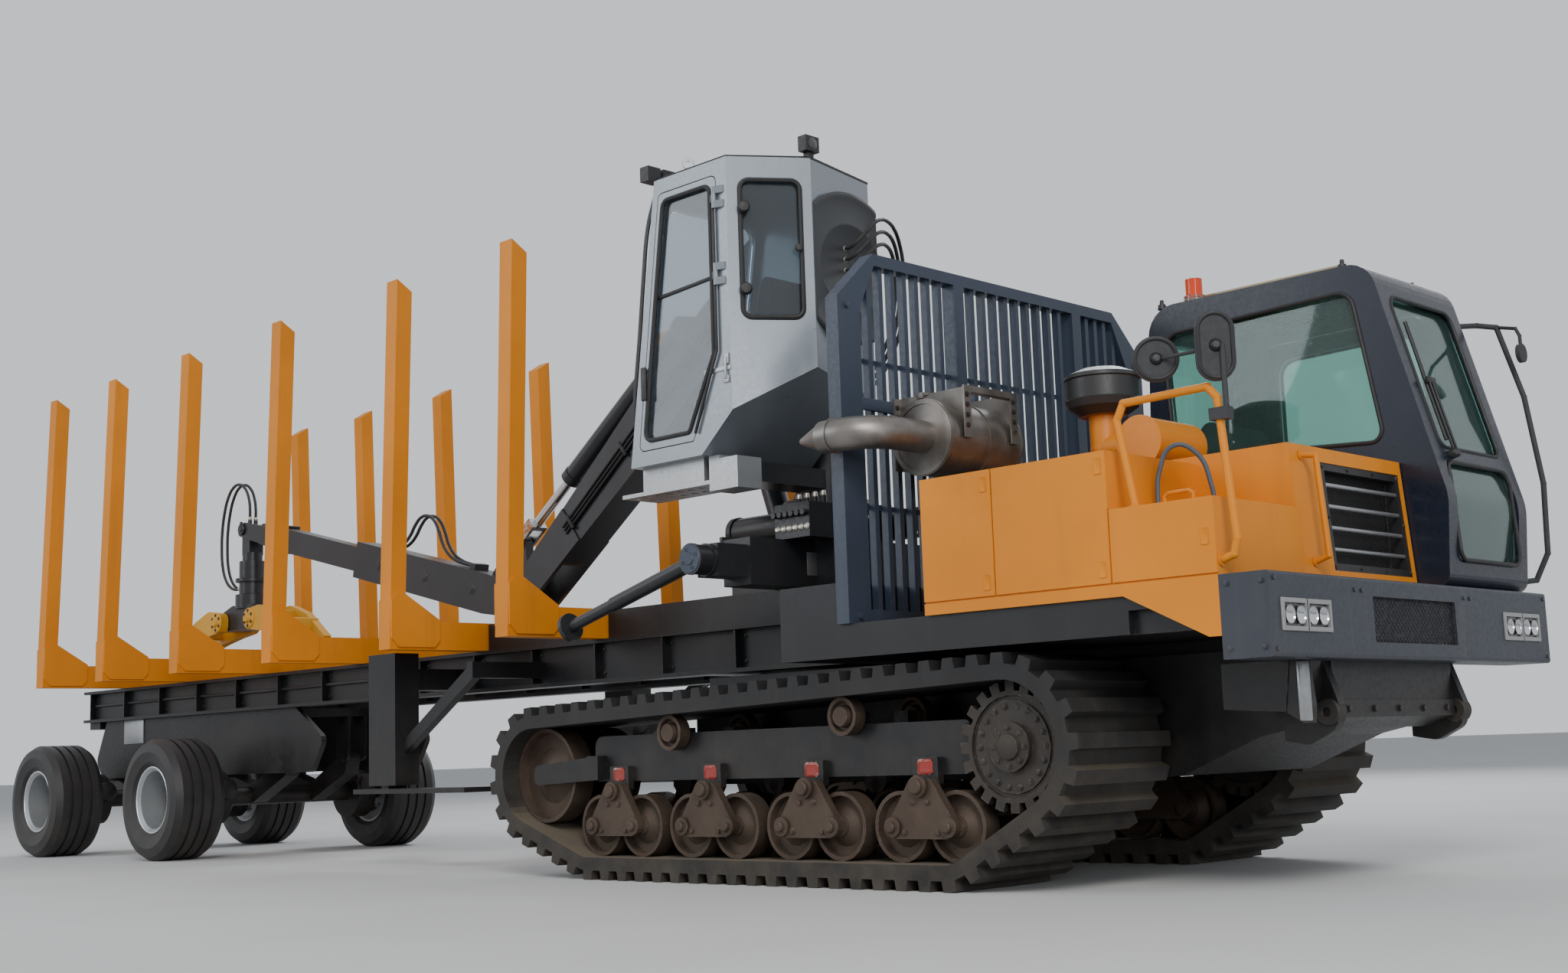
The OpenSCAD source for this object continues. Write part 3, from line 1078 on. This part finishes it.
tip = stick_at([tip_x, 0]);
module hoses_stick() color("#1a1a1b") place() stick_frame() both()
  tube([for (c = stick_hose) [c[0], arm_hose_y, c[1]]], arm_hose_r, [0, 1, 0]);
module hoses_tip() color("#1a1a1b") place() both()
  tube([for (c = tip_hose) [tip[0] + c[0], arm_hose_y, c[1]]], arm_hose_r, [0, 1, 0]);

motor_r = 105;
motor_z0 = 2080;
module rotator() color("#30343b") place() {
  pin_y(tip[0], tip[1], 30, -100, 100);
  along_y(-62, 62) polygon(rounded([[tip[0] - 60, 2400, 0], [tip[0] - 60, tip[1] + 50, 55],
    [tip[0] + 60, tip[1] + 50, 55], [tip[0] + 60, 2400, 0]]));
  pin_z(tip[0], 0, 80, 2340, 2420);
  pin_z(tip[0], 0, motor_r, motor_z0, 2350);
  pin_z(tip[0], 0, motor_r + 30, 2180, 2205);
  pin_z(tip[0], 0, 45, 1990, motor_z0 + 1);
  both() {
    pin_z(tip[0], arm_hose_y, 17, 2600, 2690);
    pin_x(arm_hose_y, 2135, 18, tip[0] - 140, tip[0] - 80);
  }
}

claw_x = 260;
claw_z = 1860;
claw_pin = 34;
module grapple_frame() color("#3a3f46") place() translate([tip[0], 0, 0]) difference() {
  union() {
    pin_z(0, 0, 135, 1960, motor_z0 - 5);
    along_y(-105, 105) polygon([[-330, 1790], [330, 1790], [330, 1930], [140, 1990], [-140, 1990],
        [-330, 1930]]);
    for (s = [-1, 1]) pin_y(s * claw_x, claw_z, claw_pin, -190, 190);
  }
  pin_z(0, 0, 45 + fit, 1985, motor_z0 + 20);
}

claw_shape = [[-70, 70, 60], [140, 100, 60], [380, 20, 120], [660, -180, 10], [640, -198, 10],
    [420, -150, 100],
  [180, -110, 60], [-70, -80, 60]];
module claw(s) translate([tip[0] + s * claw_x, 0, claw_z]) mirror([s < 0 ? 1 : 0, 0, 0]) difference() {
  union() {
    for (y = [-176, 110]) along_y(y, y + 66) polygon(rounded(claw_shape, 5));
    along_y(-176, 176) polygon([[430, -20], [470, -30], [470, -110], [430, -100]]);
    along_y(-176, 176) polygon([[180, 60], [230, 50], [230, -60], [180, -60]]);
  }
  pin_y(0, 0, claw_pin + fit, -200, 200);
}
module claw_front() color("#d9a01f") place() claw(1);
module claw_rear() color("#d9a01f") place() claw(-1);

// Stabilisers: a beam that slides out and a leg that swings down
out_y = 1115;
leg_pin_z = (house_z0 + house_z1) / 2;
leg_pin = 40;
leg_y = 1185;
leg_l = 1100;
leg_dip = 14.6;
out_half = house_w / 2 - house_wall - gap;
module outrigger() difference() {
  union() {
    box([house_x - out_half, -out_y, house_z0 + gap], [house_x + out_half, -240, house_z1 - gap]);
    pin_y(house_x, leg_pin_z, 88, -out_y - 22, -out_y);
    pin_y(house_x, leg_pin_z, leg_pin, -out_y - 110, -out_y);
    pin_y(house_x, leg_pin_z, 84, -out_y - 126, -out_y - 108);
  }
  box([house_x - out_half + 15, -out_y + 30, house_z0 + 15], [house_x + out_half - 15, -239, house_z1 - 15]);
}
module outrigger_right() color("#272c34") place() outrigger();
module outrigger_left() color("#272c34") place() mirror([0, 1, 0]) outrigger();

module leg() translate([house_x, 0, leg_pin_z]) rotate([0, -leg_dip, 0]) difference() {
  union() {
    pin_y(0, 0, 80, -out_y - 106, -out_y - 24);
    pin_x(-leg_y + 6, 0, 34, -leg_l, -500);
    pin_x(-leg_y + 6, 0, 41, -720, -40);
    pin_x(-leg_y + 6, 0, 80, -leg_l - 28, -leg_l);
  }
  pin_y(0, 0, leg_pin + fit, -out_y - 200, -out_y + 100);
}
module leg_right() color("#2a3340") place() leg();
module leg_left() color("#2a3340") place() mirror([0, 1, 0]) leg();

module tyre_rr() color("#1f1f20") place() wheel_at(axle_x[0], -1) tyre();
module tyre_rl() color("#1f1f20") place() wheel_at(axle_x[0], 1) tyre();
module tyre_fr() color("#1f1f20") place() wheel_at(axle_x[1], -1) tyre();
module tyre_fl() color("#1f1f20") place() wheel_at(axle_x[1], 1) tyre();
module rim_rr() color("#b9bec4") place() wheel_at(axle_x[0], -1) rim();
module rim_rl() color("#b9bec4") place() wheel_at(axle_x[0], 1) rim();
module rim_fr() color("#b9bec4") place() wheel_at(axle_x[1], -1) rim();
module rim_fl() color("#b9bec4") place() wheel_at(axle_x[1], 1) rim();

undercarriage();
bogies();
sprockets();
tracks();
main_frame();
hood();
grille();
bumper();
carrier_lamps();
cab_shell();
cab_glass();
cab_interior();
cab_door();
cab_door_glass();
handrails();
guard();
muffler();
air_cleaner();
mirrors();
trailer_frame();
bunks();
axles();
air_bags();
landing_legs();
tyre_rr();
tyre_rl();
tyre_fr();
tyre_fl();
rim_rr();
rim_rl();
rim_fr();
rim_fl();
crane_base();
valve_block();
crane_column();
crane_cab();
crane_cab_glass();
crane_cab_door();
crane_door_glass();
crane_cab_seat();
crane_lamps();
crane_cab_step();
hoses_crane();
boom();
stick();
hoses_stick();
extension();
rotator();
hoses_tip();
grapple_frame();
claw_front();
claw_rear();
lift_barrel();
lift_rod();
stick_barrel();
stick_rod();
outrigger_right();
outrigger_left();
leg_right();
leg_left();
